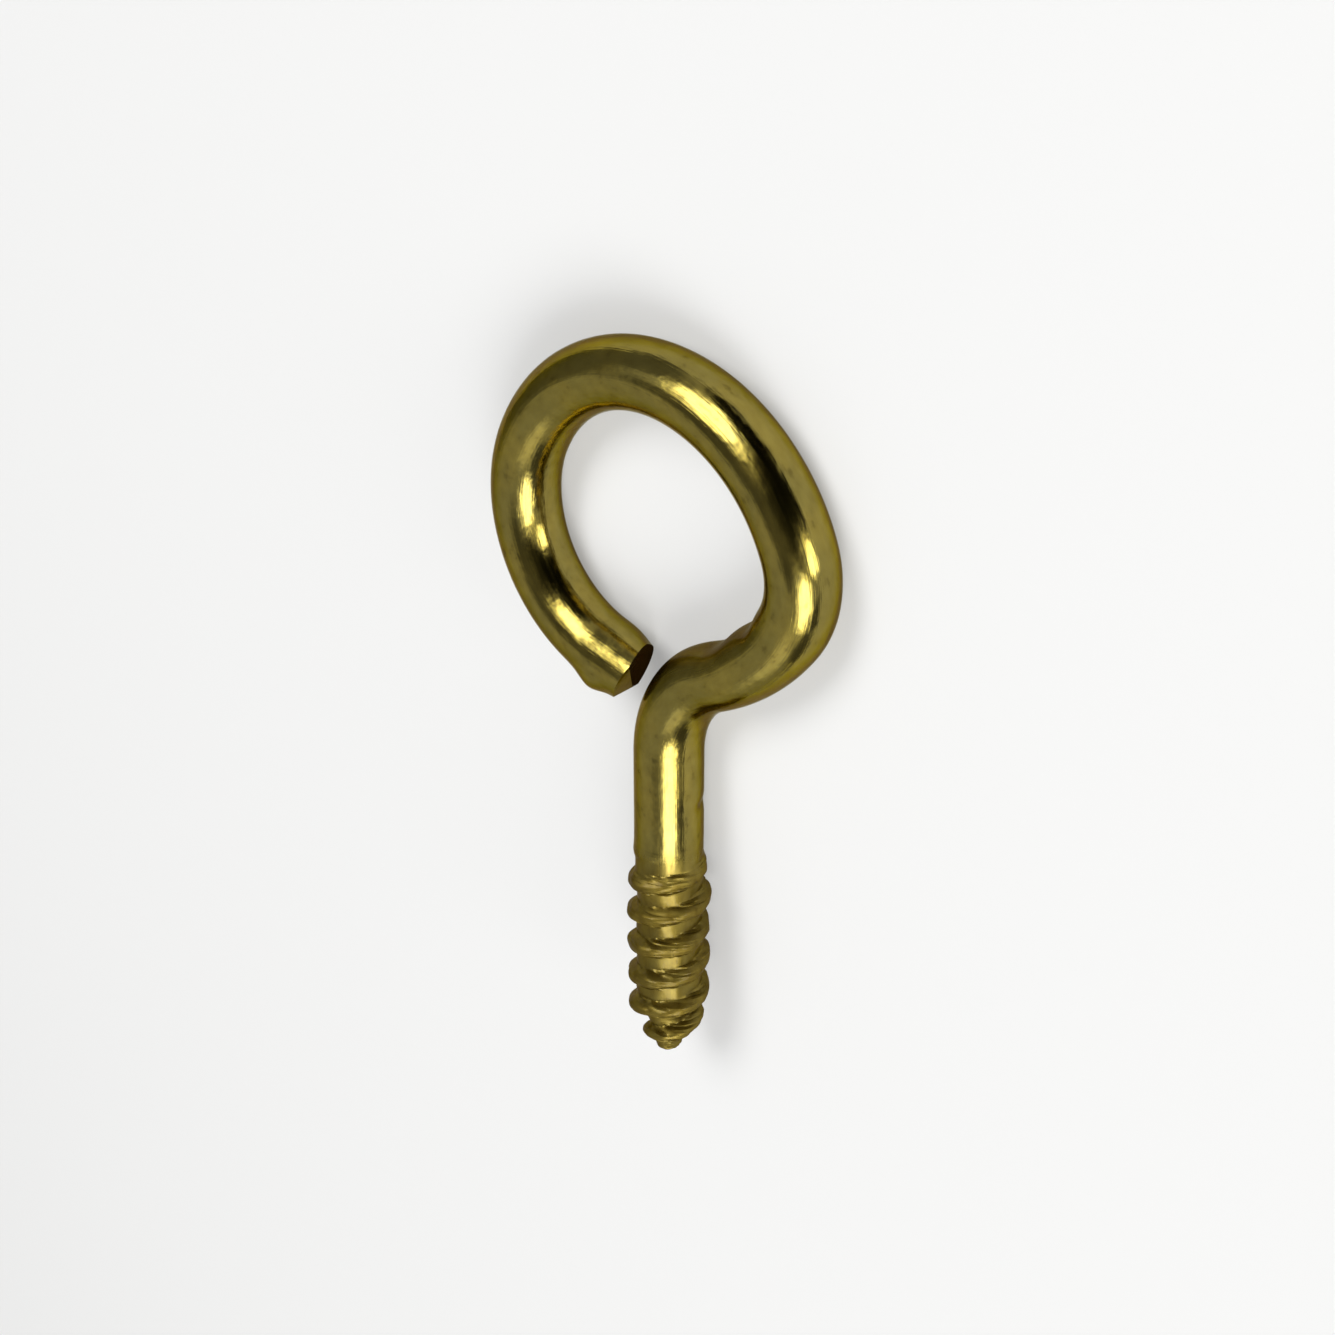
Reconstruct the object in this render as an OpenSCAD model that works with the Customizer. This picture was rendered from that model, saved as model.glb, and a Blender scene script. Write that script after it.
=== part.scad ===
// Screw eye: one length of round wire, with an open eye bent at one end
// and a rolled wood-screw thread with a blunt gimlet point at the other.
// It lies flat on its eye. The neck has a slight twist, so the shank rises a
// little towards its point and its thread clears the ground. Millimetres, +Z up.

/* [Wire] */
// Diameter of the round wire
wire_d = 2.3; // [1.8:0.05:2.8]
// Length of the shank from the neck bend to the tip of the point
shank_len = 11.36; // [10:0.02:16]

/* [Eye] */
// Bend radius of the first stretch, just past the neck
foot_radius = 7.95; // [7:0.05:10]
// Angle of the first stretch
foot_angle = 27; // [22:0.5:30]
// Bend radius of the corner where the eye turns up
corner_radius = 3; // [2.8:0.05:3.6]
// Angle of that corner
corner_angle = 56; // [52:0.5:60]
// Bend radius over the top of the eye
crown_radius = 6.03; // [5.6:0.01:6.3]
// Angle of the crown
crown_angle = 134.5; // [132:0.5:138]
// Bend radius of the last stretch, towards the free end
return_radius = 4.62; // [4.4:0.02:5]
// Angle of that last stretch
return_angle = 102; // [98:0.5:103]
// Straight tail behind the return, cut off at its end
tail_len = 2.4; // [2:0.1:2.8]

/* [Neck] */
// Bend radius of the neck, on the wire's centre line
neck_radius = 3.63; // [3:0.01:4.5]
// Angle that the neck turns through
neck_angle = 65.5; // [60:0.5:75]
// Twist of the shank out of the plane of the eye
neck_twist = 4.2; // [4:0.1:15]
// Radius of the forming pin that nipped the inside of the eye's foot twice
nip_radius = 1.6; // [1.2:0.1:2.4]
// Depth of those two nips
nip_depth = 0.2; // [0.05:0.01:0.3]
// Angle between them, round the foot
nip_gap = 16; // [14:0.5:20]

/* [Cut end] */
// Distance from the start of the tail to the cut, on the centre line
cut_at = 1.35; // [1:0.05:1.8]
// Skew of the cut, sideways
cut_skew = -6; // [-15:1:15]
// Lean of the cut, towards the ground
cut_lean = 17; // [0:1:25]
// Slope of the second, smaller face that the cutter left
bevel_slope = 41; // [30:1:60]
// Share of the wire's diameter that the second face takes
bevel_share = 0.2; // [0.1:0.01:0.3]

/* [Thread] */
// Diameter over the crests
thread_d = 2.84; // [2.6:0.02:2.9]
// Diameter at the roots
root_d = 2.16; // [1.9:0.02:2.24]
// Distance between turns
pitch = 1.2; // [1.1:0.01:1.4]
// Where the thread starts, measured down the shank
thread_start = 3.6; // [3.4:0.05:4.5]
// Length over which the roots sink to their full depth
run_out = 2.05; // [1.2:0.05:2.4]
// How far ahead of the roots the first crest begins to rise
crest_lead = 0.5; // [0:0.05:0.8]
// Angle at which the helix starts round the shank
thread_phase = 87; // [0:1:359]
// Length of the tapered point
point_len = 2.5; // [2:0.05:2.8]
// Radius of the blunt tip
tip_radius = 0.25; // [0.1:0.05:0.35]

/* [Hidden] */
brass = "#b39b4f";
wire_r = wire_d/2;
wire_sides = 48;
bend_steps = 144;
slack = 3*wire_d;
seam_step = 0.004;
slim_r = wire_r - seam_step;
tuck = 0.06;
first_nip = 5.5;

// The eye's bends in order, each a radius and an angle
eye_bends = [
    [foot_radius, foot_angle],
    [corner_radius, corner_angle],
    [crown_radius, crown_angle],
    [return_radius, return_angle]
];

// Bearing of the foot when the shank's shadow runs along Y
foot_bearing = 90 - atan2(sin(neck_angle)*cos(neck_twist), cos(neck_angle));

function degrees_of(length, radius) = length/radius*180/PI;

// Place on the eye's centre line after a number of degrees of turn
function step_over(radius, turn, bearing) =
    radius*[sin(bearing + turn) - sin(bearing), cos(bearing) - cos(bearing + turn)];
function eye_point(turn, bearing = foot_bearing, i = 0) =
    turn <= eye_bends[i][1]
        ? step_over(eye_bends[i][0], turn, bearing)
        : step_over(eye_bends[i][0], eye_bends[i][1], bearing)
            + eye_point(turn - eye_bends[i][1], bearing + eye_bends[i][1], i + 1);

// Extent of the whole part, for an origin under its middle
neck_back = neck_radius*sin(neck_angle);
neck_drop = neck_radius*(1 - cos(neck_angle));
tip_along = neck_back + shank_len*cos(neck_angle);
tip_across = neck_drop + shank_len*sin(neck_angle);
tip_lean = tip_radius*sin(neck_angle)*sin(neck_twist);
tip_y = -tip_along*sin(foot_bearing) - tip_across*cos(neck_twist)*cos(foot_bearing) - tip_lean;
right_x = eye_point(90 - foot_bearing)[0] + wire_r;
left_x = eye_point(270 - foot_bearing)[0] - wire_r;
top_y = eye_point(180 - foot_bearing)[1] + wire_r;
middle = [(left_x + right_x)/2, (tip_y + top_y)/2];

// Thread section: a rounded ridge between flat roots. The ridge's share is of
// the pitch, and its power sets how blunt it is.
ridge_share = 0.56;
ridge_power = 2.3;
thread_sides = 40;
rows_per_turn = 15;
sink = 0.15;
rolled_from = thread_start - crest_lead;
point_start = shank_len - point_len;
crest_power = 2.3;
core_share = 0.72;

function ease(t) = let (c = min(1, max(0, t))) c*c*(3 - 2*c);
function from_crest(z, a) =
    let (turn = (z - thread_start)/pitch - (a + thread_phase)/360)
    abs(2*(turn - floor(turn)) - 1);
function ridge(x) = max(0, 1 - pow(x/ridge_share, ridge_power));
function point_share(z) = max(0, (z - point_start)/point_len);
function crest_r(z) =
    tip_radius + (thread_d/2 - tip_radius)*(1 - pow(min(1, point_share(z)), crest_power));
function core_r(z) =
    max(tip_radius, root_d/2*(1 - core_share*point_share(z)));
function grown(z, lead) = ease((z - thread_start + lead)/run_out);
function rolled(r, share) = slim_r*(1 - share) + r*share;
function skin_r(z, a) =
    let (
        root = rolled(core_r(z), grown(z, 0)),
        crest = rolled(crest_r(z), grown(z, crest_lead))
    )
    root + (crest - root)*ridge(from_crest(z, a));

// Round wire along a flat bend that turns left from the X axis. Stretches are
// plain and slim by turns: a slim one is a hair thinner, and its ends are
// tucked into its neighbours, so that all of them join as one solid.
module bent_wire(radius, angle, slim = false) {
    tucked = slim ? degrees_of(tuck, radius) : 0;
    translate([0, radius, 0])
        rotate([0, 0, -90 - tucked])
            rotate_extrude(angle = angle + 2*tucked, $fn = bend_steps)
                translate([radius, 0])
                    circle(r = slim ? slim_r : wire_r, $fn = wire_sides);
}

// Moves what follows to the end of such a bend
module after_bend(radius, angle) {
    translate([radius*sin(angle), radius*(1 - cos(angle)), 0])
        rotate([0, 0, angle])
            children();
}

// The bends one after another, then the children at their end
module bend_chain(bends, i = 0) {
    if (i < len(bends)) {
        bent_wire(bends[i][0], bends[i][1], slim = i%2 == 1);
        after_bend(bends[i][0], bends[i][1])
            bend_chain(bends, i + 1)
                children();
    } else {
        children();
    }
}

// A block that takes away everything in front of a plane
module beyond() {
    translate([0, -slack, -slack])
        cube([2*slack, 2*slack, 2*slack]);
}

// Straight tail with the two faces that a pair of cutters left
module cut_tail() {
    difference() {
        rotate([0, 90, 0])
            cylinder(h = tail_len, r = wire_r, $fn = wire_sides);
        translate([cut_at, 0, 0])
            rotate([0, cut_lean, cut_skew])
                beyond();
        translate([cut_at, -wire_r*(1 - 2*bevel_share), 0])
            rotate([0, 0, -bevel_slope])
                beyond();
    }
}

// What the pin took from the inside of the foot, at an angle round it
module nip(turn) {
    reach = foot_radius - wire_r + nip_depth - nip_radius;
    translate([0, foot_radius, -slack/2])
        rotate([0, 0, turn - 90])
            translate([reach, 0, 0])
                cylinder(h = slack, r = nip_radius, $fn = wire_sides);
}

// The open eye, with the two nips on the inside of its foot
module eye() {
    difference() {
        bend_chain(eye_bends)
            cut_tail();
        nip(first_nip);
        nip(first_nip + nip_gap);
    }
}

// The neck bend, back from the start of the foot
module neck() {
    rotate([0, 0, 180])
        bent_wire(neck_radius, neck_angle, slim = true);
}

// Moves what follows to the neck's far end, with +Z towards the point
module at_shank() {
    translate([-neck_back, -neck_drop, 0])
        rotate([0, 0, neck_angle])
            rotate([0, -90, 0])
                children();
}

// Threaded length and point: rings of points round the shank's axis
module threaded_end() {
    z_top = rolled_from - sink;
    rows = ceil((shank_len - z_top)/pitch*rows_per_turn);
    row_gap = (shank_len - z_top)/rows;
    skin = [
        for (i = [0:rows], j = [0:thread_sides - 1])
            let (z = z_top + i*row_gap, a = 360*j/thread_sides, r = skin_r(z, a))
            [r*cos(a), r*sin(a), z]
    ];
    function at(i, j) = i*thread_sides + j%thread_sides;
    sides = [
        for (i = [0:rows - 1], j = [0:thread_sides - 1])
            each [
                [at(i, j), at(i + 1, j), at(i + 1, j + 1)],
                [at(i, j), at(i + 1, j + 1), at(i, j + 1)]
            ]
    ];
    top = [for (j = [0:thread_sides - 1]) j];
    bottom = [for (j = [thread_sides - 1:-1:0]) at(rows, j)];
    polyhedron(points = skin, faces = concat(sides, [top, bottom]));
}

module shank() {
    cylinder(h = rolled_from - sink/2, r = wire_r, $fn = wire_sides);
    threaded_end();
}

// The whole piece, resting on its eye
module screw_eye() {
    color(brass)
        translate([-middle[0], -middle[1], wire_r])
            rotate([0, 0, foot_bearing]) {
                eye();
                rotate([-neck_twist, 0, 0]) {
                    neck();
                    at_shank()
                        shank();
                }
            }
}

screw_eye();
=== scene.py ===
"""Screw eye: one length of brass-plated wire, bent, rolled and cut, in a plain studio."""

import math

import bmesh
import bpy
from mathutils import Matrix, Vector, noise


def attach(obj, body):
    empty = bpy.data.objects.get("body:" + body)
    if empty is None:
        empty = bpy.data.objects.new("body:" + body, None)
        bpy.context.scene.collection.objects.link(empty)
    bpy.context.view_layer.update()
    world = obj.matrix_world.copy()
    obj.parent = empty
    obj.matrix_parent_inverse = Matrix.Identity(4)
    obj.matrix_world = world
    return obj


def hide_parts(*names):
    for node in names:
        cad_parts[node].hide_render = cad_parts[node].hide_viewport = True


bl_info = {
    "name": "Screw Eye",
    "version": (1, 0, 0),
    "blender": (4, 5, 0),
    "location": "3D View > Sidebar > Screw Eye",
    "description": "Brass-plated screw eye, bent from one wire, with its studio",
    "category": "Object",
}

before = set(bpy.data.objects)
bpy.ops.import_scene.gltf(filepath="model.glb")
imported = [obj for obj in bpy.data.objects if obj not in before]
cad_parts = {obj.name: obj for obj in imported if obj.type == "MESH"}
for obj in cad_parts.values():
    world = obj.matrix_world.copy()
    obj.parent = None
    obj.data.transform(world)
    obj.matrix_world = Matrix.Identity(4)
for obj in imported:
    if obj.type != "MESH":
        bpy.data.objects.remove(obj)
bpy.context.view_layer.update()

MM = 0.001


# ---------------------------------------------------------------- user values


class WireSizes(bpy.types.PropertyGroup):
    """Sizes of the wire, its bends and its cut end."""

    wire_d: bpy.props.FloatProperty(
        name="Wire diameter",
        description="Diameter of the drawn wire",
        default=2.3 * MM, unit="LENGTH", precision=5)
    shank_len: bpy.props.FloatProperty(
        name="Shank length",
        description="From the neck bend to the tip of the point",
        default=11.36 * MM, unit="LENGTH", precision=5)
    foot_radius: bpy.props.FloatProperty(
        name="Foot radius",
        description="Bend radius of the first stretch of the eye",
        default=7.95 * MM, unit="LENGTH", precision=5)
    foot_angle: bpy.props.FloatProperty(
        name="Foot angle",
        description="Angle of the first stretch of the eye",
        default=math.radians(27.0), subtype="ANGLE")
    corner_radius: bpy.props.FloatProperty(
        name="Corner radius",
        description="Bend radius where the eye turns up",
        default=3.0 * MM, unit="LENGTH", precision=5)
    corner_angle: bpy.props.FloatProperty(
        name="Corner angle",
        description="Angle of that corner",
        default=math.radians(56.0), subtype="ANGLE")
    crown_radius: bpy.props.FloatProperty(
        name="Crown radius",
        description="Bend radius over the top of the eye",
        default=6.03 * MM, unit="LENGTH", precision=5)
    crown_angle: bpy.props.FloatProperty(
        name="Crown angle",
        description="Angle of the crown",
        default=math.radians(134.5), subtype="ANGLE")
    return_radius: bpy.props.FloatProperty(
        name="Return radius",
        description="Bend radius of the last stretch, towards the free end",
        default=4.62 * MM, unit="LENGTH", precision=5)
    return_angle: bpy.props.FloatProperty(
        name="Return angle",
        description="Angle of that last stretch",
        default=math.radians(102.0), subtype="ANGLE")
    neck_radius: bpy.props.FloatProperty(
        name="Neck radius",
        description="Bend radius between the shank and the eye",
        default=3.63 * MM, unit="LENGTH", precision=5)
    neck_angle: bpy.props.FloatProperty(
        name="Neck angle",
        description="Angle that the neck turns through",
        default=math.radians(65.5), subtype="ANGLE")
    neck_twist: bpy.props.FloatProperty(
        name="Neck twist",
        description="Twist of the shank out of the plane of the eye",
        default=math.radians(4.2), subtype="ANGLE")
    cut_at: bpy.props.FloatProperty(
        name="Cut",
        description="From the end of the last bend to the cut",
        default=1.35 * MM, unit="LENGTH", precision=5)
    cut_skew: bpy.props.FloatProperty(
        name="Cut skew",
        description="Sideways skew of the cut",
        default=math.radians(-6.0), subtype="ANGLE")
    cut_lean: bpy.props.FloatProperty(
        name="Cut lean",
        description="Lean of the cut, towards the ground",
        default=math.radians(17.0), subtype="ANGLE")
    bevel_slope: bpy.props.FloatProperty(
        name="Second face slope",
        description="Slope of the smaller face that the cutter left",
        default=math.radians(41.0), subtype="ANGLE")
    bevel_share: bpy.props.FloatProperty(
        name="Second face share",
        description="Share of the wire's diameter that the smaller face takes",
        default=0.2, min=0.0, max=0.5, subtype="FACTOR")


class ThreadSizes(bpy.types.PropertyGroup):
    """Sizes of the rolled thread and its point."""

    thread_d: bpy.props.FloatProperty(
        name="Crest diameter",
        description="Diameter over the crests",
        default=2.84 * MM, unit="LENGTH", precision=5)
    root_d: bpy.props.FloatProperty(
        name="Root diameter",
        description="Diameter at the roots",
        default=2.16 * MM, unit="LENGTH", precision=5)
    pitch: bpy.props.FloatProperty(
        name="Pitch",
        description="Distance between turns",
        default=1.2 * MM, unit="LENGTH", precision=5)
    start: bpy.props.FloatProperty(
        name="Start",
        description="Where the thread starts, measured down the shank",
        default=3.6 * MM, unit="LENGTH", precision=5)
    run_out: bpy.props.FloatProperty(
        name="Run-out",
        description="Length over which the roots sink to their full depth",
        default=2.05 * MM, unit="LENGTH", precision=5)
    lead: bpy.props.FloatProperty(
        name="Crest lead",
        description="How far ahead of the roots the first crest begins to rise",
        default=0.5 * MM, unit="LENGTH", precision=5)
    phase: bpy.props.FloatProperty(
        name="Phase",
        description="Angle at which the helix starts round the shank",
        default=math.radians(87.0), subtype="ANGLE")
    point_len: bpy.props.FloatProperty(
        name="Point length",
        description="Length of the tapered point",
        default=2.5 * MM, unit="LENGTH", precision=5)
    tip_radius: bpy.props.FloatProperty(
        name="Tip radius",
        description="Radius of the blunt tip",
        default=0.25 * MM, unit="LENGTH", precision=5)
    roughness: bpy.props.FloatProperty(
        name="Rolled roughness",
        description="Height of the lumps that rolling left on the thread",
        default=0.09 * MM, unit="LENGTH", precision=5)


class Finish(bpy.types.PropertyGroup):
    """Colours and gloss of the plating and the cut face."""

    brass: bpy.props.StringProperty(
        name="Brass",
        description="Plating, sRGB hex",
        default="#8b7e3f")
    golden: bpy.props.StringProperty(
        name="Golden brass",
        description="Fresher patches of the plating, sRGB hex",
        default="#96863f")
    tarnish: bpy.props.StringProperty(
        name="Tarnish",
        description="Specks and streaks where the plating has dulled, sRGB hex",
        default="#4c4019")
    # Also browns the inside of the foot as painted shade.
    worn_and_painted_shade: bpy.props.StringProperty(
        name="Worn brass",
        description="Plating dulled by rolling the thread and by the forming pin, sRGB hex",
        default="#544109")
    edge: bpy.props.StringProperty(
        name="Brass, edge on",
        description="Tint of the plating where it is seen edge on, sRGB hex",
        default="#a5964f")
    sheared: bpy.props.StringProperty(
        name="Sheared face",
        description="Bare, darkened steel of the cut face, sRGB hex",
        default="#54401e")
    sheared_edge: bpy.props.StringProperty(
        name="Sheared face, edge on",
        description="Tint of the cut face where it is seen edge on, sRGB hex",
        default="#3a2810")
    gloss: bpy.props.FloatProperty(
        name="Roughness",
        description="Middle roughness of the bright plating",
        default=0.12, min=0.0, max=1.0, subtype="FACTOR")


class Studio(bpy.types.PropertyGroup):
    """Floor, lamps and surroundings."""

    floor: bpy.props.StringProperty(
        name="Floor",
        description="Colour of the pale floor, sRGB hex",
        default="#b2b2b1")
    floor_glow: bpy.props.FloatProperty(
        name="Floor glow",
        description="Added to the floor where it is seen or reflected, and never as light",
        default=0.3, min=0.0)
    soft_level: bpy.props.FloatProperty(
        name="Softbox level",
        description="Radiance of the softboxes, where 1 is a white sheet of paper",
        default=1.76, min=0.0)
    room_level: bpy.props.FloatProperty(
        name="Room level",
        description="Radiance of the plain room",
        default=0.6, min=0.0)


# ---------------------------------------------------------------- the wire


# The mesh: its points round the wire, and the gap between its rows along it.
SIDES = 112
THREAD_ROW = 0.036 * MM
PLAIN_ROW = 0.09 * MM
# Wire left past the cut, for the cutter to take off.
SPARE = 0.9 * MM
# Length over which the blunt tip rounds off.
TIP_DOME = 0.16 * MM

# Thread section: the ridge's share of the pitch, and how blunt it is. The
# fillet is the share of the ridge's height that rounds its feet.
RIDGE_SHARE = 0.56
RIDGE_POWER = 2.3
FILLET = 0.3
# The point: how blunt its crests' taper is, and how much the core thins.
CREST_POWER = 2.3
CORE_SHARE = 0.72

# Unevenness, each with the size and the seed of its noise. Each row of points
# moves up or down the thread by up to WANDER, which leaves fine lines along the
# turns. The thread has large and small lumps, and sinks by a share of their
# height. The whole wire swells by up to SWELL.
WANDER, WANDER_NOISE = 0.09 * MM, (0.6 * MM, 31.0)
LARGE_LUMPS, SMALL_LUMPS = (0.85 * MM, 11.0), (0.4 * MM, 23.0)
SMALL_SHARE, LUMPS_SINK = 0.2, 0.15
SWELL, SWELL_NOISE = 0.006 * MM, (2.6 * MM, 5.0)

# Marks pressed into the wire or raised on it: reach and angle of the middle,
# half its length along the wire, half its width round it, and its depth. The
# lengths are in millimetres and the angles in degrees.
MARKS = (
    (-5.95, 205.0, 0.22, 0.42, 0.08),    # nick in the shank
    (0.60, 8.0, 1.00, 0.75, 0.20),       # first nip of the forming pin
    (2.95, 18.0, 0.58, 0.70, 0.15),      # second nip
    (29.3, 136.0, 0.55, 0.60, -0.22),    # pushed up by the cutter
    (30.6, 316.0, 0.75, 0.85, 0.27),     # squeezed by the cutter
)
# Past this many half lengths from its middle, a mark has faded out.
FADED = 3.0
# Where the forming pin's rub dulls the foot, and where the foot is browned as painted shade:
# reach and angle of the middle, half the length in millimetres and half the width in degrees.
RUB_AND_PAINTED_SHADE = (1.3, 22.0, 2.8, 42.0)

# The cutter also left a small upper face: how far behind the main face it
# lies, and how much less it is skewed and leans.
UPPER_FACE = (0.10 * MM, math.radians(-8.0), math.radians(-13.0))
# Rounding of the cut's rim, and the angle from which an edge is part of it.
RIM = 0.04 * MM
RIM_ANGLE = math.radians(25.0)
# Angle from which an edge is shaded sharp.
SHARP_ANGLE = math.radians(28.0)
# Points this near a cutting plane count as on it, in metres.
ON_PLANE = 1e-9

# Material slots, and the attributes that the materials read: where a point was on the straight
# wire, and its shares of rolling, thread root, and the pin's rub with its painted shade.
PLATED, SHEARED = 0, 1
STRAIGHT, WORKED_AND_SHADED = "straight", "worked_and_shaded"


def ease(t):
    """Smooth step from 0 to 1."""
    t = min(1.0, max(0.0, t))
    return t * t * (3 - 2 * t)


def thread_radius(z, angle, wire, thread):
    """Radius of the shank's skin at a distance down the shank and an angle round it."""
    plain = wire.wire_d / 2
    taper = max(0.0, (z - (wire.shank_len - thread.point_len)) / thread.point_len)
    tip = thread.tip_radius
    crest = tip + (thread.thread_d / 2 - tip) * (1 - min(1.0, taper) ** CREST_POWER)
    core = max(tip, thread.root_d / 2 * (1 - CORE_SHARE * taper))
    sunk = ease((z - thread.start) / thread.run_out)
    risen = ease((z - thread.start + thread.lead) / thread.run_out)
    core = plain * (1 - sunk) + core * sunk
    crest = plain * (1 - risen) + crest * risen
    turn = (z - thread.start) / thread.pitch - (angle + thread.phase) / math.tau
    from_crest = abs(2 * (turn - math.floor(turn)) - 1)
    ridge = 1 - (from_crest / RIDGE_SHARE) ** RIDGE_POWER
    if ridge < FILLET:
        ridge = max(0.0, ridge + FILLET) ** 2 / (4 * FILLET)
    return core + (crest - core) * ridge


class BentWire:
    """Where each cross-section of the straight wire goes when the wire is bent.

    The start of the eye's foot is reach 0. The eye has positive reach, and the
    neck and the shank have negative reach. A section's own x points into the
    bend of the eye, and its y points up."""

    def __init__(self, wire):
        self.wire = wire
        self.bends = [
            (wire.foot_radius, wire.foot_angle),
            (wire.corner_radius, wire.corner_angle),
            (wire.crown_radius, wire.crown_angle),
            (wire.return_radius, wire.return_angle),
        ]
        self.neck_len = wire.neck_radius * wire.neck_angle
        self.eye_len = sum(radius * angle for radius, angle in self.bends)
        self.bearing = math.pi / 2 - math.atan2(
            math.sin(wire.neck_angle) * math.cos(wire.neck_twist),
            math.cos(wire.neck_angle))

    def section(self, reach):
        """Place and turn of the section at a reach, with the foot at the origin."""
        if reach >= 0:
            return self.eye_section(reach)
        wire = self.wire
        turned = min(-reach / wire.neck_radius, wire.neck_angle)
        past = max(0.0, -reach - self.neck_len)
        along = Vector((math.cos(turned), math.sin(turned), 0))
        place = Vector((-math.sin(turned), math.cos(turned) - 1, 0)) * wire.neck_radius
        bent = self.basis(place - along * past, turned)
        untwisted = Matrix.Rotation(wire.neck_twist, 4, "Z")
        return Matrix.Rotation(-wire.neck_twist, 4, "X") @ bent @ untwisted

    def eye_section(self, reach):
        """The same on the eye and its tail, where the reach is positive."""
        place = Vector((0, 0, 0))
        heading = 0.0
        for radius, angle in self.bends:
            turned = min(reach / radius, angle)
            side = Vector((-math.sin(heading), math.cos(heading), 0))
            heading += turned
            place += radius * (side - Vector((-math.sin(heading), math.cos(heading), 0)))
            reach -= turned * radius
            if reach <= 0:
                break
        along = Vector((math.cos(heading), math.sin(heading), 0))
        return self.basis(place + along * max(0.0, reach), heading)

    @staticmethod
    def basis(place, heading):
        """Section x to the left of the heading, y up and z along the wire."""
        turn = Matrix((
            (-math.sin(heading), 0, math.cos(heading)),
            (math.cos(heading), 0, math.sin(heading)),
            (0, 1, 0)))
        return Matrix.Translation(place) @ turn.to_4x4()


def row_reaches(bent, wire, thread):
    """Reach of every row of the mesh, from the tip to past the cut."""
    tip = -(bent.neck_len + wire.shank_len)
    rolled_to = -(bent.neck_len + thread.start - thread.lead)
    end = bent.eye_len + wire.cut_at + SPARE
    fine = math.ceil((rolled_to - tip) / THREAD_ROW)
    plain = math.ceil((end - rolled_to) / PLAIN_ROW)
    reaches = [tip + (rolled_to - tip) * i / fine for i in range(fine)]
    reaches += [rolled_to + (end - rolled_to) * i / plain for i in range(plain + 1)]
    return reaches


def degrees_off(angle, middle):
    """How far an angle is round the wire from a middle, in degrees from -180 to 180."""
    return (math.degrees(angle) - middle + 180) % 360 - 180


def pressed(reach, angle, radius):
    """Depth of all marks at a place on the wire's skin."""
    depth = 0.0
    for middle, round_to, half_len, half_width, deep in MARKS:
        along = (reach / MM - middle) / half_len
        if abs(along) > FADED:
            continue
        across = math.radians(degrees_off(angle, round_to)) * radius / MM / half_width
        depth += deep * math.exp(-along * along - across * across)
    return depth * MM


def rub_and_painted_shade(reach, angle):
    """Share of the forming pin's rub inside the eye's foot, which also browns it as painted
    shade.
    """
    middle, round_to, half_len, half_width = RUB_AND_PAINTED_SHADE
    along = (reach / MM - middle) / half_len
    across = degrees_off(angle, round_to) / half_width
    return math.exp(-along ** 4 - across ** 4)


def lumps(place, size, seed):
    """Smooth seeded noise, from about -1 to 1, with features of one size."""
    return noise.noise(place / size + Vector((seed, -seed, 2 * seed)))


def shape_rows(bm, rows, reaches, bent, wire, thread):
    """Rolls the thread, presses the marks, and notes what was done to each point and where the
    foot gets painted shade.
    """
    straight = bm.verts.layers.float_vector[STRAIGHT]
    worked_and_shaded = bm.verts.layers.float_vector[WORKED_AND_SHADED]
    plain = wire.wire_d / 2
    depth = (thread.thread_d - thread.root_d) / 2
    for row, reach in zip(rows, reaches):
        z = -reach - bent.neck_len
        level = Vector((0, 0, reach))
        rolled = ease((z - thread.start + 2 * thread.lead) / thread.run_out)
        for vert in row:
            angle = math.atan2(vert.co.y, vert.co.x)
            outward = Vector((math.cos(angle), math.sin(angle), 0))
            radius = plain
            if z > thread.start - thread.lead:
                # A point's height is still the number of its row, so each row
                # is moved by itself.
                wander = lumps(vert.co / 2 + level, *WANDER_NOISE) * WANDER
                round_shank = math.pi / 2 - angle + wire.neck_twist
                radius = thread_radius(z + wander, round_shank, wire, thread)
            skin = outward * radius + level
            rough = lumps(skin, *LARGE_LUMPS) + SMALL_SHARE * lumps(skin, *SMALL_LUMPS)
            radius += (rough - LUMPS_SINK) * thread.roughness * rolled
            radius += lumps(skin, *SWELL_NOISE) * SWELL
            radius -= pressed(reach, angle, plain)
            from_tip = wire.shank_len - z
            if from_tip < TIP_DOME:
                radius *= math.sqrt(max(0.0, 1 - (1 - from_tip / TIP_DOME) ** 2))
            sunk = ease((thread.thread_d / 2 - radius) / depth)
            vert.co = outward * radius
            vert[straight] = (*vert.co.xy, reach)
            # The third share marks the pin's rub, whose browning is painted shade.
            vert[worked_and_shaded] = (rolled, rolled * sunk, rub_and_painted_shade(reach, angle))


def foot_place(bent, wire, thread):
    """Place of the start of the foot when the part lies flat, centred on the origin."""
    turn = Matrix.Rotation(bent.bearing, 4, "Z")
    extremes = []
    before = 0.0
    heading = bent.bearing
    for radius, angle in bent.bends:
        for quarter, axis in ((math.pi / 2, 0), (math.pi, 1), (3 * math.pi / 2, 0)):
            if heading <= quarter <= heading + angle:
                at = turn @ bent.section(before + radius * (quarter - heading))
                extremes.append((quarter, at.translation[axis]))
        heading += angle
        before += radius * angle
    right, top, left = (value for _, value in sorted(extremes))
    plain = wire.wire_d / 2
    tip = turn @ bent.section(-(bent.neck_len + wire.shank_len))
    tip_lean = thread.tip_radius * math.sin(wire.neck_angle) * math.sin(wire.neck_twist)
    lowest = tip.translation.y - tip_lean
    return Vector((-(left + right) / 2, -(lowest + top + plain) / 2, plain))


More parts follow.
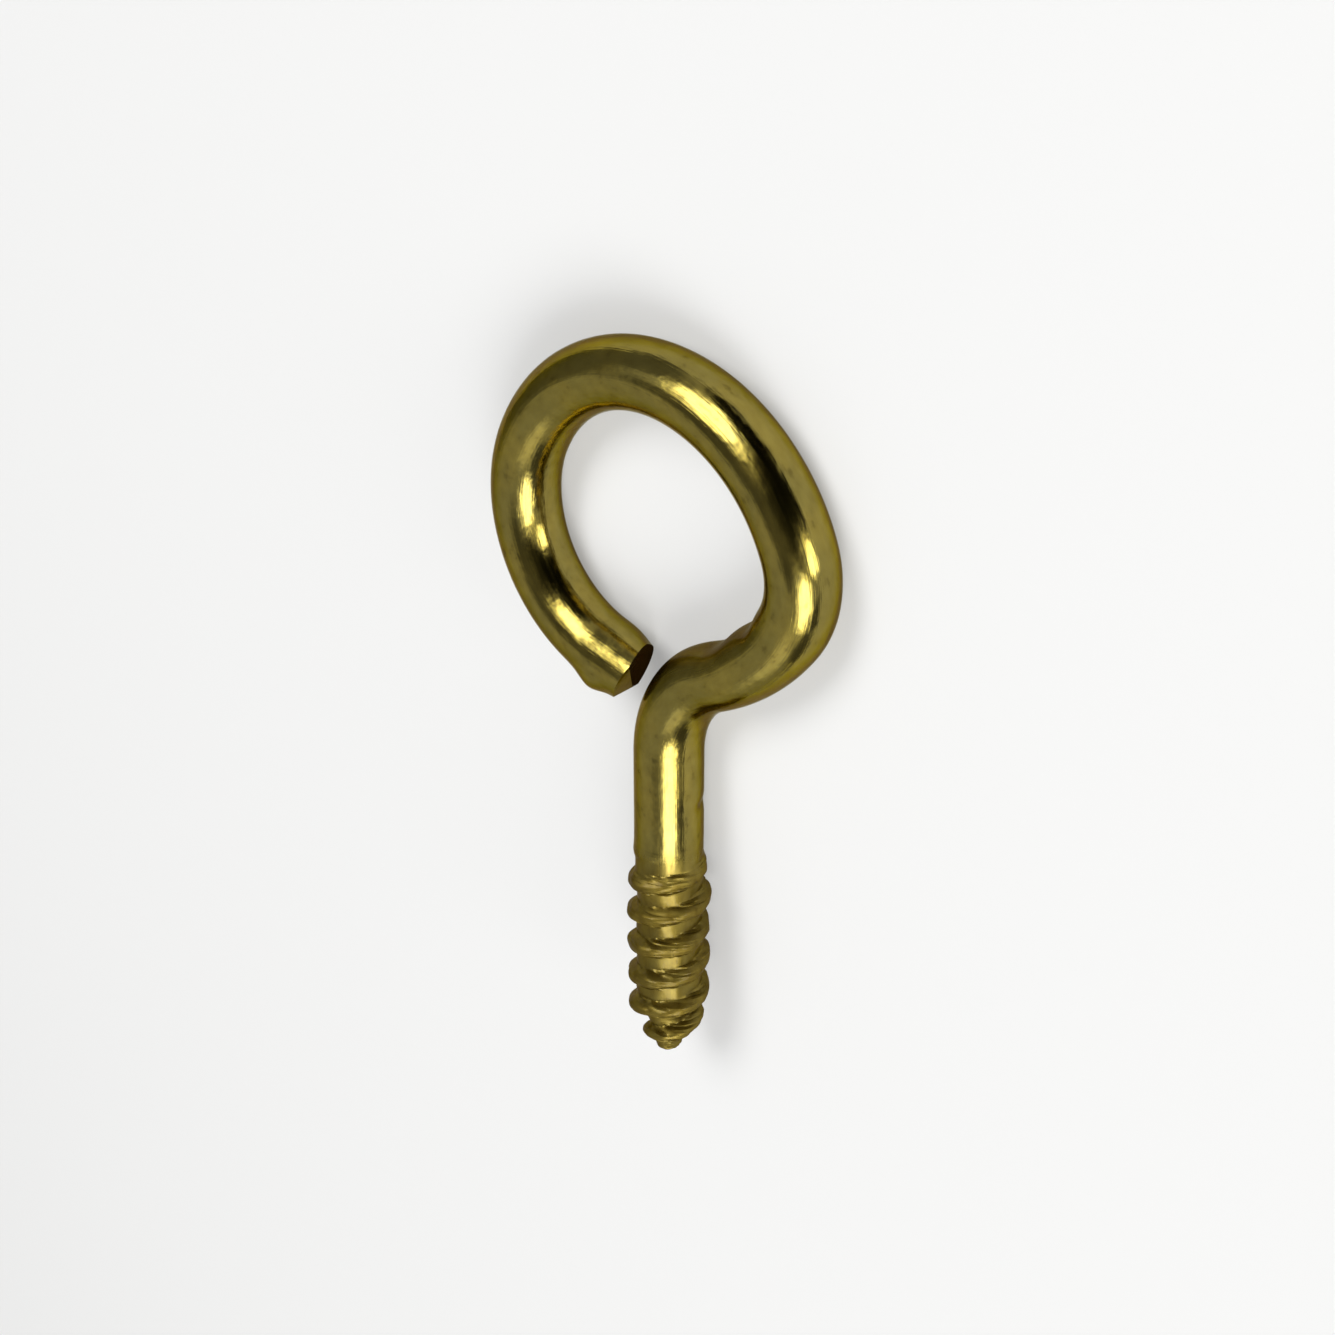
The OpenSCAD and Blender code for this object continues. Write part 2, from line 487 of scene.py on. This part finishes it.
def build_wire(name, wire, thread):
    """One closed mesh: a straight rod, rolled, marked, bent and cut."""
    bent = BentWire(wire)
    reaches = row_reaches(bent, wire, thread)
    bm = bmesh.new()
    for attribute in (STRAIGHT, WORKED_AND_SHADED):
        bm.verts.layers.float_vector.new(attribute)
    bmesh.ops.create_circle(bm, cap_ends=False, segments=SIDES, radius=wire.wire_d / 2)
    # The rod rises by 1 for each row, so that a point's height is its row.
    bmesh.ops.spin(
        bm, geom=bm.edges[:], cent=(0, 0, 0), axis=(0, 0, 1), dvec=(0, 0, 1), angle=0,
        steps=len(reaches) - 1, use_merge=False, use_normal_flip=False, use_duplicate=False)
    rows = [[] for _ in reaches]
    for vert in bm.verts:
        rows[round(vert.co.z)].append(vert)
    if any(len(row) != SIDES for row in rows):
        raise RuntimeError("the straight rod doesn't have whole rows")
    shape_rows(bm, rows, reaches, bent, wire, thread)
    for row, reach in zip(rows, reaches):
        bmesh.ops.transform(
            bm, matrix=bent.section(reach), space=Matrix.Identity(4), verts=row)
    bmesh.ops.pointmerge(bm, verts=rows[0], merge_co=bent.section(reaches[0]).translation)
    cut(bm, bent, wire)
    bmesh.ops.recalc_face_normals(bm, faces=bm.faces)
    bmesh.ops.rotate(
        bm, cent=(0, 0, 0), matrix=Matrix.Rotation(bent.bearing, 3, "Z"), verts=bm.verts)
    bmesh.ops.translate(bm, vec=foot_place(bent, wire, thread), verts=bm.verts)
    if any(not edge.is_manifold for edge in bm.edges):
        raise RuntimeError("the wire's mesh isn't closed")
    mesh = bpy.data.meshes.new(name)
    bm.to_mesh(mesh)
    bm.free()
    mesh.shade_smooth()
    mesh.set_sharp_from_angle(angle=SHARP_ANGLE)
    return mesh


def cut(bm, bent, wire):
    """Cuts the free end with the cutter's three faces, closes it and rounds its rim."""
    # In the tail's own frame x runs along the wire and y into the eye.
    tail = bent.section(bent.eye_len) @ Matrix(
        ((0, 1, 0, 0), (0, 0, 1, 0), (1, 0, 0, 0), (0, 0, 0, 1)))
    side = -wire.wire_d / 2 * (1 - 2 * wire.bevel_share)
    behind, less_skew, less_lean = UPPER_FACE
    straight = bm.verts.layers.float_vector[STRAIGHT]
    ends = []
    for place, skew, lean, material in (
            ((wire.cut_at, 0, 0), wire.cut_skew, wire.cut_lean, SHEARED),
            ((wire.cut_at, side, 0), -wire.bevel_slope, 0.0, PLATED),
            ((wire.cut_at + behind, 0, 0),
             wire.cut_skew + less_skew, wire.cut_lean + less_lean, PLATED)):
        turn = Matrix.Rotation(skew, 3, "Z") @ Matrix.Rotation(lean, 3, "Y")
        geom = [vert for vert in bm.verts if vert[straight].z > bent.eye_len]
        free = set(geom)
        geom += [edge for edge in bm.edges if free.issuperset(edge.verts)]
        geom += [face for face in bm.faces if free.issuperset(face.verts)]
        made = bmesh.ops.bisect_plane(
            bm, geom=geom, dist=ON_PLANE, plane_co=tail @ Vector(place),
            plane_no=tail.to_3x3() @ turn @ Vector((1, 0, 0)),
            clear_outer=True, clear_inner=False)["geom_cut"]
        edges = [part for part in made if isinstance(part, bmesh.types.BMEdge)]
        closed = bmesh.ops.contextual_create(bm, geom=edges)["faces"]
        if not closed:
            raise RuntimeError("the cut end wasn't closed")
        for face in closed:
            face.material_index = material
        ends += closed
    ends = {face for face in ends if face.is_valid}
    rim = [edge for edge in bm.edges if not ends.isdisjoint(edge.link_faces)
           and edge.is_manifold and edge.calc_face_angle() > RIM_ANGLE]
    bmesh.ops.bevel(bm, geom=rim, offset=RIM, offset_type="OFFSET", segments=2,
                    profile=0.5, affect="EDGES", clamp_overlap=True, material=-1)


class SCREWEYE_OT_wire(bpy.types.Operator):
    """Make the screw eye from one wire, and plate it"""

    bl_idname = "screweye.wire"
    bl_label = "Screw eye"
    bl_options = {"REGISTER", "UNDO"}

    def execute(self, context):
        scene = context.scene
        mesh = build_wire("screw_eye_wire", scene.screweye_wire, scene.screweye_thread)
        mesh.materials.append(plated_brass(scene.screweye_finish))
        mesh.materials.append(sheared_steel(scene.screweye_finish))
        piece = bpy.data.objects.new("screw_eye_wire", mesh)
        scene.collection.objects.link(piece)
        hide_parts("screw_eye")
        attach(piece, "root")
        return {"FINISHED"}


# ---------------------------------------------------------------- materials


def linear(code):
    """Linear colour of an sRGB hex value."""
    parts = [int(code[i:i + 2], 16) / 255 for i in (1, 3, 5)]
    return (*(p / 12.92 if p <= 0.04045 else ((p + 0.055) / 1.055) ** 2.4 for p in parts), 1)


def add_node(tree, kind, settings=None, inputs=None):
    """Adds a node, sets its settings, and fills or links its inputs.

    A colour Mix has its factor at 0 and its colours at 6 and 7. A float Mix has
    its factor at 0 and its values at 2 and 3."""
    made = tree.nodes.new(kind)
    for name, value in (settings or {}).items():
        setattr(made, name, value)
    for name, value in (inputs or {}).items():
        if isinstance(value, bpy.types.NodeSocket):
            tree.links.new(value, made.inputs[name])
        else:
            made.inputs[name].default_value = value
    return made


def fresh_tree(owner):
    """Empty node tree of a material or a world."""
    owner.use_nodes = True
    owner.node_tree.nodes.clear()
    return owner.node_tree


# Noise in the plating: its size across the wire and along it in millimetres,
# its detail and its roughness. Drawn lines are really a few microns apart, and
# orange peel about 0.1 mm, so both are drawn as coarse as they need to show.
PLATING_NOISE = {
    "lines": (0.07, 3.0, 3.0, 0.6),
    "peel": (0.4, 0.7, 2.0, 0.5),
    "patches": (1.1, 2.2, 3.0, 0.55),
    "specks": (0.3, 0.45, 2.0, 0.5),
}
# Their heights are a few times the real ones too, so that they show.
PEEL_HEIGHT = 0.02 * MM
LINES_HEIGHT = 0.006 * MM
# How much the rolled thread, its roots and the pin's rub inside the foot brown the plating, and
# how much those three and the specks roughen it. The browning inside the foot is painted shade.
# The roots are browned and roughened a little less than the rest of the thread.
BROWNED = (0.52, -0.10, 0.40)
ROUGHENED = (0.42, -0.10, 0.25, 0.25)


def plated_brass(finish):
    """Bright electroplated brass on drawn steel wire.

    The drawing die left fine lines along the wire, and the thin plating keeps
    them, so highlights are sharp across but ragged at their edges. The plating
    is mottled, and has clouded over in patches and dulled in specks. Rolling
    Rolling left the thread browner and rougher than the drawn wire, and the inside of the foot
    is browned as painted shade."""
    material = bpy.data.materials.new("electroplated_brass_on_drawn_steel")
    tree = fresh_tree(material)
    straight = add_node(tree, "ShaderNodeAttribute", {"attribute_name": STRAIGHT})
    noises = {}
    for name, (across, along, detail, rough) in PLATING_NOISE.items():
        place = add_node(tree, "ShaderNodeMapping", {"label": name}, {
            "Vector": straight.outputs["Vector"],
            "Scale": (1 / (across * MM), 1 / (across * MM), 1 / (along * MM))})
        noises[name] = add_node(tree, "ShaderNodeTexNoise", {"label": name}, {
            "Vector": place.outputs[0], "Scale": 1.0, "Detail": detail,
            "Roughness": rough}).outputs[0]
    worked_and_shaded = add_node(tree, "ShaderNodeAttribute", {"attribute_name": WORKED_AND_SHADED})
    part = add_node(tree, "ShaderNodeSeparateXYZ", {}, {0: worked_and_shaded.outputs["Vector"]})
    # The third share is the pin's rub; its browning below is painted shade.
    rolled, in_roots, pin_rub_and_painted_shade = part.outputs[:3]

    # Colour: fresh and older plating, browned on the rolled thread and, as painted shade,
    # inside the foot, with specks.
    fresh = add_node(tree, "ShaderNodeMapRange", {"interpolation_type": "SMOOTHSTEP"}, {
        "Value": noises["patches"], "From Min": 0.38, "From Max": 0.64})
    toned = add_node(tree, "ShaderNodeMix", {"data_type": "RGBA"}, {
        0: fresh.outputs[0], 6: linear(finish.brass), 7: linear(finish.golden)})
    mottled = add_node(tree, "ShaderNodeMapRange", {}, {
        "Value": noises["specks"], "From Min": 0.3, "From Max": 0.7, "To Max": 0.24})
    brown = mottled.outputs[0]
    for share, weight in zip((rolled, in_roots, pin_rub_and_painted_shade), BROWNED):
        brown = add_node(tree, "ShaderNodeMath", {"operation": "MULTIPLY_ADD"}, {
            0: share, 1: weight, 2: brown}).outputs[0]
    browned = add_node(tree, "ShaderNodeMix", {"data_type": "RGBA"}, {
        0: brown, 6: toned.outputs[2], 7: linear(finish.worn_and_painted_shade)})
    specked = add_node(tree, "ShaderNodeMapRange", {"interpolation_type": "SMOOTHSTEP"}, {
        "Value": noises["specks"], "From Min": 0.62, "From Max": 0.8, "To Max": 0.4})
    tarnished = add_node(tree, "ShaderNodeMix", {"data_type": "RGBA"}, {
        0: specked.outputs[0], 6: browned.outputs[2], 7: linear(finish.tarnish)})

    # Roughness: the drawn lines and clouded patches, and the thread, its roots, the pin's rub
    # and the specks.
    lined_rough = add_node(tree, "ShaderNodeMapRange", {}, {
        "Value": noises["lines"], "From Min": 0.3, "From Max": 0.7,
        "To Min": finish.gloss - 0.03, "To Max": finish.gloss + 0.05})
    cloudy = add_node(tree, "ShaderNodeMapRange", {"interpolation_type": "SMOOTHSTEP"}, {
        "Value": noises["patches"], "From Min": 0.5, "From Max": 0.7, "To Max": 0.07})
    rough = add_node(tree, "ShaderNodeMath", {}, {
        0: lined_rough.outputs[0], 1: cloudy.outputs[0]}).outputs[0]
    for share, weight in zip((rolled, in_roots, pin_rub_and_painted_shade, specked.outputs[0]), ROUGHENED):
        rough = add_node(tree, "ShaderNodeMath", {"operation": "MULTIPLY_ADD"}, {
            0: share, 1: weight, 2: rough}).outputs[0]

    # Bumps: the orange peel and the drawn lines. Rolling flattened both.
    flattened = add_node(tree, "ShaderNodeMapRange", {}, {
        "Value": rolled, "To Min": 1.0, "To Max": 0.25})
    peeled = add_node(tree, "ShaderNodeBump", {}, {
        "Strength": flattened.outputs[0], "Distance": PEEL_HEIGHT,
        "Height": noises["peel"]})
    lined = add_node(tree, "ShaderNodeBump", {}, {
        "Strength": flattened.outputs[0], "Distance": LINES_HEIGHT,
        "Height": noises["lines"], "Normal": peeled.outputs[0]})
    # A thin clear passivation lies over the brass and pales its highlights.
    shader = add_node(tree, "ShaderNodeBsdfPrincipled", {}, {
        "Base Color": tarnished.outputs[2], "Metallic": 1.0, "Roughness": rough,
        "Specular Tint": linear(finish.edge), "Normal": lined.outputs[0],
        "Coat Weight": 0.12, "Coat Roughness": 0.08})
    add_node(tree, "ShaderNodeOutputMaterial", {}, {"Surface": shader.outputs[0]})
    return material


def sheared_steel(finish):
    """Bare steel where the cutter parted the wire: torn, darkened and nearly matt."""
    material = bpy.data.materials.new("sheared_steel_darkened")
    tree = fresh_tree(material)
    straight = add_node(tree, "ShaderNodeAttribute", {"attribute_name": STRAIGHT})
    # The tear lines of the cutter are about 0.1 mm apart.
    place = add_node(tree, "ShaderNodeMapping", {}, {
        "Vector": straight.outputs["Vector"],
        "Scale": (1 / (0.1 * MM), 1 / (0.5 * MM), 1 / (0.1 * MM))})
    tear = add_node(tree, "ShaderNodeTexNoise", {}, {
        "Vector": place.outputs[0], "Scale": 1.0, "Detail": 4.0, "Roughness": 0.6})
    torn = add_node(tree, "ShaderNodeBump", {}, {
        "Strength": 1.0, "Distance": 0.01 * MM, "Height": tear.outputs[0]})
    rough = add_node(tree, "ShaderNodeMapRange", {}, {
        "Value": tear.outputs[0], "To Min": 0.35, "To Max": 0.6})
    shader = add_node(tree, "ShaderNodeBsdfPrincipled", {}, {
        "Base Color": linear(finish.sheared), "Metallic": 1.0,
        "Roughness": rough.outputs[0], "Specular Tint": linear(finish.sheared_edge),
        "Normal": torn.outputs[0]})
    add_node(tree, "ShaderNodeOutputMaterial", {}, {"Surface": shader.outputs[0]})
    return material


def pale_floor(settings):
    """Matt card, which glows a little where it is seen or reflected.

    The glow makes it pale without more light, and the soft shadow stays on it."""
    material = bpy.data.materials.new("matt_white_card")
    tree = fresh_tree(material)
    card = add_node(tree, "ShaderNodeBsdfDiffuse", {}, {"Color": linear(settings.floor)})
    path = add_node(tree, "ShaderNodeLightPath")
    seen = add_node(tree, "ShaderNodeMath", {"operation": "MAXIMUM"}, {
        0: path.outputs["Is Camera Ray"], 1: path.outputs["Is Glossy Ray"]})
    shown = add_node(tree, "ShaderNodeMath", {"operation": "MAXIMUM"}, {
        0: seen.outputs[0], 1: path.outputs["Is Transmission Ray"]})
    level = add_node(tree, "ShaderNodeMath", {"operation": "MULTIPLY"}, {
        0: shown.outputs[0], 1: settings.floor_glow})
    glow = add_node(tree, "ShaderNodeEmission", {}, {
        "Color": (1, 1, 1, 1), "Strength": level.outputs[0]})
    both = add_node(tree, "ShaderNodeAddShader", {}, {0: card.outputs[0], 1: glow.outputs[0]})
    add_node(tree, "ShaderNodeOutputMaterial", {}, {"Surface": both.outputs[0]})
    return material


# ---------------------------------------------------------------- the stage


# Oval softboxes: bearing and height of the middle, width, height and roll, all
# in degrees as seen from the object, and the multiple of the softbox level.
# Each large one has a brighter core, as a lamp behind cloth has.
SOFTBOXES = (
    ("left_softbox", -39.0, 40.0, 43.0, 42.0, 0.0, 1.1),
    ("left_core", -38.0, 39.0, 33.0, 32.0, 0.0, 3.2),
    ("low_softbox", 3.0, 14.0, 21.0, 22.0, 0.0, 4.4),
    ("big_softbox", 101.0, 53.0, 50.0, 35.0, 45.0, 1.1),
    ("big_core", 99.0, 52.0, 39.0, 26.0, 45.0, 3.2),
)
# From the object to every softbox, in metres.
SOFTBOX_DISTANCE = 0.4

# Lighter and darker parts of the room: bearing and height of the middle, the
# angles at which they start and stop fading out, and their share of the level.
ROOM_PARTS = (
    ("overhead", 0.0, 90.0, 14.0, 30.0, 0.25),
    ("overhead_back", 178.0, 62.0, 9.0, 19.0, 0.25),
    ("dark_right", 132.0, 16.0, 22.0, 33.0, 0.35),
    ("dark_far_right", 168.0, 18.0, 20.0, 32.0, 0.35),
    ("dark_low_left", -68.0, 10.0, 12.0, 21.0, 0.22),
    ("dark_low_middle", -38.0, 3.0, 11.0, 18.0, 0.2),
    ("pale_left", -94.0, 34.0, 3.0, 18.0, 2.3),
    ("black_front_high", 28.0, 56.0, 15.0, 28.0, 0.06),
    ("black_front", 36.0, 24.0, 21.0, 29.0, 0.01),
    ("black_front_right", 68.0, 14.0, 19.0, 28.0, 0.01),
)

# The camera looks down on the lying part, with its shank hanging down the view.
# Its turns and its angle of view are in degrees.
CAMERA_PLACE = Vector((43.148, 32.376, 44.824)) * MM
CAMERA_TURN = (-29.0756, 43.1785, -3.6049)
CAMERA_ANGLE = 34.33
# Nearest and farthest that it sees, and the floor's radius, in metres.
NEAREST_SEEN = 1 * MM
FARTHEST_SEEN = 20.0
FLOOR_RADIUS = 4.0
FLOOR_SIDES = 96


def from_bearing(bearing, height):
    """Direction of a bearing and a height in degrees, seen from the object."""
    b, h = math.radians(bearing), math.radians(height)
    return Vector((math.cos(b) * math.cos(h), math.sin(b) * math.cos(h), math.sin(h)))


def studio_world(settings):
    """A plain room with lighter and darker parts, white where it is seen directly."""
    world = bpy.data.worlds.new("plain_room")
    tree = fresh_tree(world)
    direction = add_node(tree, "ShaderNodeTexCoord").outputs["Generated"]
    level = 1.0
    for name, bearing, height, full, gone, share in ROOM_PARTS:
        towards = add_node(tree, "ShaderNodeVectorMath", {
            "operation": "DOT_PRODUCT", "label": name}, {
            0: direction, 1: from_bearing(bearing, height)})
        inside = add_node(tree, "ShaderNodeMapRange", {"interpolation_type": "SMOOTHSTEP"}, {
            "Value": towards.outputs["Value"],
            "From Min": math.cos(math.radians(gone)), "From Max": math.cos(math.radians(full))})
        level = add_node(tree, "ShaderNodeMix", {"data_type": "FLOAT"}, {
            0: inside.outputs[0], 2: level, 3: share}).outputs[0]
    dimmed = add_node(tree, "ShaderNodeMath", {"operation": "MULTIPLY"}, {
        0: level, 1: settings.room_level})
    path = add_node(tree, "ShaderNodeLightPath")
    shown = add_node(tree, "ShaderNodeMix", {"data_type": "FLOAT"}, {
        0: path.outputs["Is Camera Ray"], 2: dimmed.outputs[0], 3: 1.0})
    sky = add_node(tree, "ShaderNodeBackground", {}, {
        "Color": (1, 1, 1, 1), "Strength": shown.outputs[0]})
    add_node(tree, "ShaderNodeOutputWorld", {}, {"Surface": sky.outputs[0]})
    return world


def add_softbox(scene, level, name, bearing, height, wide, tall, roll, share):
    """A square-on oval lamp that fills the given angles as seen from the object."""
    light = bpy.data.lights.new(name, "AREA")
    light.shape = "ELLIPSE"
    light.size = 2 * SOFTBOX_DISTANCE * math.tan(math.radians(wide) / 2)
    light.size_y = 2 * SOFTBOX_DISTANCE * math.tan(math.radians(tall) / 2)
    # An area lamp's power is its radiance times pi times its area.
    area = light.size * light.size_y * math.pi / 4
    light.energy = level * share * math.pi * area
    lamp = bpy.data.objects.new(name, light)
    towards = from_bearing(bearing, height)
    lamp.location = towards * SOFTBOX_DISTANCE
    upright = towards.to_track_quat("Z", "Y").to_matrix()
    lamp.rotation_euler = (upright @ Matrix.Rotation(math.radians(roll), 3, "Z")).to_euler()
    lamp.visible_camera = False
    scene.collection.objects.link(lamp)


def add_camera(scene):
    """The camera that the part is shown with."""
    data = bpy.data.cameras.new("camera")
    data.angle = math.radians(CAMERA_ANGLE)
    data.clip_start = NEAREST_SEEN
    data.clip_end = FARTHEST_SEEN
    camera = bpy.data.objects.new("camera", data)
    camera.location = CAMERA_PLACE
    camera.rotation_euler = [math.radians(angle) for angle in CAMERA_TURN]
    scene.collection.objects.link(camera)
    scene.camera = camera


class SCREWEYE_OT_stage(bpy.types.Operator):
    """Make the floor, the lamps, the room and the camera"""

    bl_idname = "screweye.stage"
    bl_label = "Stage"
    bl_options = {"REGISTER", "UNDO"}

    def execute(self, context):
        scene = context.scene
        settings = scene.screweye_studio
        bm = bmesh.new()
        bmesh.ops.create_circle(
            bm, cap_ends=True, segments=FLOOR_SIDES, radius=FLOOR_RADIUS)
        mesh = bpy.data.meshes.new("floor")
        bm.to_mesh(mesh)
        bm.free()
        mesh.materials.append(pale_floor(settings))
        floor = bpy.data.objects.new("floor", mesh)
        scene.collection.objects.link(floor)
        scene.world = studio_world(settings)
        for softbox in SOFTBOXES:
            add_softbox(scene, settings.soft_level, *softbox)
        add_camera(scene)
        scene.view_settings.view_transform = "Standard"
        return {"FINISHED"}


class SCREWEYE_PT_panel(bpy.types.Panel):
    """Lists the sizes, colours and steps"""

    bl_idname = "SCREWEYE_PT_panel"
    bl_label = "Screw eye"
    bl_space_type = "VIEW_3D"
    bl_region_type = "UI"
    bl_category = "Screw Eye"

    def draw(self, context):
        for title, group in GROUPS.items():
            box = self.layout.box()
            box.label(text=title)
            settings = getattr(context.scene, group)
            for name in type(settings).__annotations__:
                box.prop(settings, name)
        self.layout.operator(SCREWEYE_OT_wire.bl_idname)
        self.layout.operator(SCREWEYE_OT_stage.bl_idname)


GROUPS = {
    "Wire": "screweye_wire",
    "Thread": "screweye_thread",
    "Finish": "screweye_finish",
    "Studio": "screweye_studio",
}
SETTINGS = (WireSizes, ThreadSizes, Finish, Studio)
CLASSES = (*SETTINGS, SCREWEYE_OT_wire, SCREWEYE_OT_stage, SCREWEYE_PT_panel)


def register():
    for cls in CLASSES:
        bpy.utils.register_class(cls)
    for name, cls in zip(GROUPS.values(), SETTINGS):
        setattr(bpy.types.Scene, name, bpy.props.PointerProperty(type=cls))


def unregister():
    for name in GROUPS.values():
        delattr(bpy.types.Scene, name)
    for cls in reversed(CLASSES):
        bpy.utils.unregister_class(cls)


def main():
    register()
    bpy.ops.screweye.wire()
    bpy.ops.screweye.stage()


if __name__ == "__main__":
    main()
